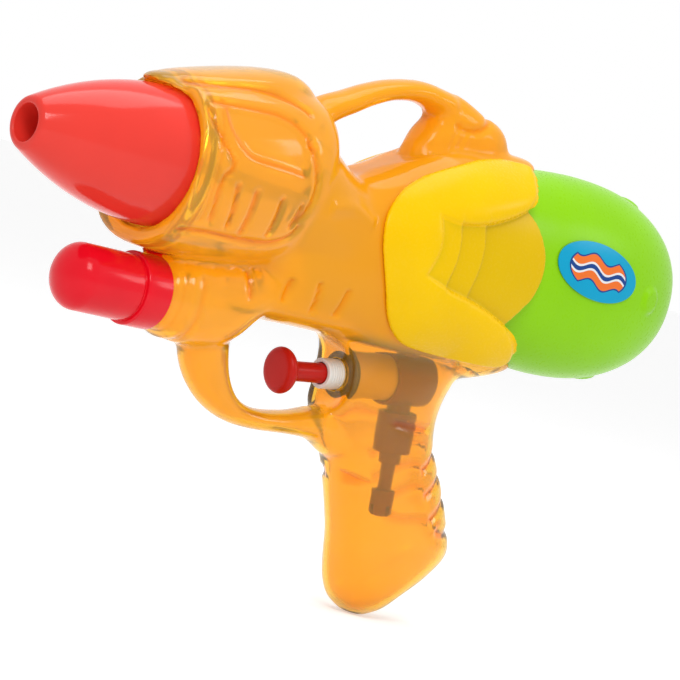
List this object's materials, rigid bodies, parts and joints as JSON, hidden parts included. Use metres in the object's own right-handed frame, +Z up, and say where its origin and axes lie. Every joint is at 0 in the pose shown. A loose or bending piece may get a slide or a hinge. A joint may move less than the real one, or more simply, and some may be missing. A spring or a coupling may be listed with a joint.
{
  "type": "toy water squirter",
  "caption": "Hand-held toy water squirter with a bullet nose, carrying loop, trigger guard, finger pump in the grip, screwed filler cap, rear tank and stepped side covers.",
  "frame": {"origin": "middle of the grip, in the middle plane of the toy, where the hand closes round it", "axes": "+X to the rear along the drum (the muzzle points to -X), +Y to the toy's right side, +Z up"},
  "size_m": [0.2913, 0.0594, 0.1802],
  "materials": {
    "body_plastic": "glossy see-through orange",
    "nose_plastic": "glossy warm red",
    "cap_plastic": "glossy crimson",
    "trigger_plastic": "satin red",
    "pump_plastic": "natural white",
    "valve_plastic": "satin dark grey",
    "hose_plastic": "soft clear hose",
    "seal_rubber": "plain black",
    "spring_steel": "drawn wire",
    "ball_steel": "polished",
    "tank_plastic": "glossy lime green",
    "label_film": "printed film",
    "cover_plastic": "glossy yellow"
  },
  "bodies": {
    "body": {"body_shell": "body_plastic", "nose_cone": "nose_plastic", "jet_nozzle": "pump_plastic", "pump_barrel": "pump_plastic", "pump_gasket": "seal_rubber", "return_spring": "spring_steel", "valve_block": "valve_plastic", "inlet_valve": "valve_plastic", "outlet_valve": "valve_plastic", "suction_tube": "valve_plastic", "suction_strainer": "valve_plastic", "outlet_hose": "hose_plastic", "tank_shell": "tank_plastic", "tank_seal": "seal_rubber", "tank_label": "label_film", "cover_left": "cover_plastic", "cover_right": "cover_plastic"},
    "trigger": {"trigger_plunger": "trigger_plastic", "piston_seal": "seal_rubber"},
    "cap_washer": {"filler_washer": "seal_rubber"},
    "cap": {"filler_cap": "cap_plastic"},
    "inlet_ball": {"inlet_ball": "ball_steel"},
    "outlet_ball": {"outlet_ball": "ball_steel"}
  },
  "joints": [
    {"name": "trigger_press", "type": "slide", "parent": "body", "child": "trigger", "axis": [0.9945, 0, 0.1045], "range_m": [0, 0.0105], "stiffness_N_per_m": 300, "springref_m": -0.008, "deforming": ["return_spring"]},
    {"name": "cap_lift", "type": "slide", "parent": "body", "child": "cap_washer", "axis": [-1, 0, 0], "range_m": [0, 0.012]},
    {"name": "cap_turn", "type": "hinge", "parent": "cap_washer", "child": "cap", "pos_m": [-0.135, 0, 0.054], "axis": [-1, 0, 0], "range_deg": [0, 1440]},
    {"name": "inlet_ball_lift", "type": "slide", "parent": "body", "child": "inlet_ball", "axis": [-0.1045, 0, 0.9945], "range_m": [0, 0.0012]},
    {"name": "outlet_ball_lift", "type": "slide", "parent": "body", "child": "outlet_ball", "axis": [-0.1045, 0, 0.9945], "range_m": [0, 0.0012]}
  ],
  "couplings": [
    {"joint": "cap_turn", "follows": "cap_lift", "rad_per_m": 2094.4}
  ]
}
